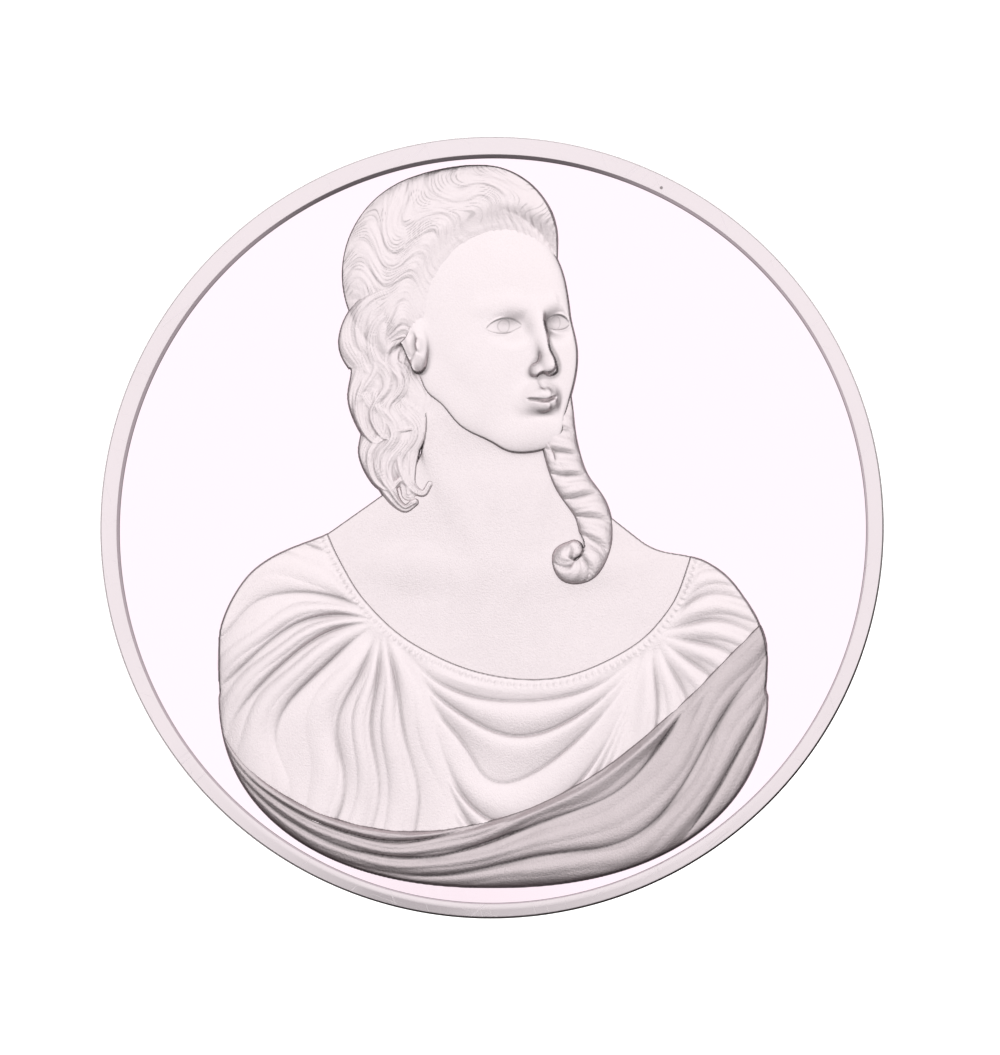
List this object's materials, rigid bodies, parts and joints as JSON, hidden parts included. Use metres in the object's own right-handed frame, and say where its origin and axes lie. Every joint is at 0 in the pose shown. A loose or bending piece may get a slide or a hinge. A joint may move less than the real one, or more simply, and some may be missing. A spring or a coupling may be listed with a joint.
{
  "type": "commemorative medal",
  "caption": "Round struck silver medal with a raised rim, mirror fields and a lady's draped bust in frosted relief; it rests flat on its back rim.",
  "frame": {"origin": "centre of the back rim's flat face, on the surface that the medal rests on", "axes": "+Z out of the front face, through the thickness; +Y towards the top of the design; +X to the viewer's right"},
  "size_m": [0.051, 0.051, 0.0039],
  "materials": {
    "struck_silver": "struck silver: mirror-polished fields, frosted relief, bright rim and plain edge"
  },
  "bodies": {
    "root": {"medal": "struck_silver"}
  },
  "joints": []
}
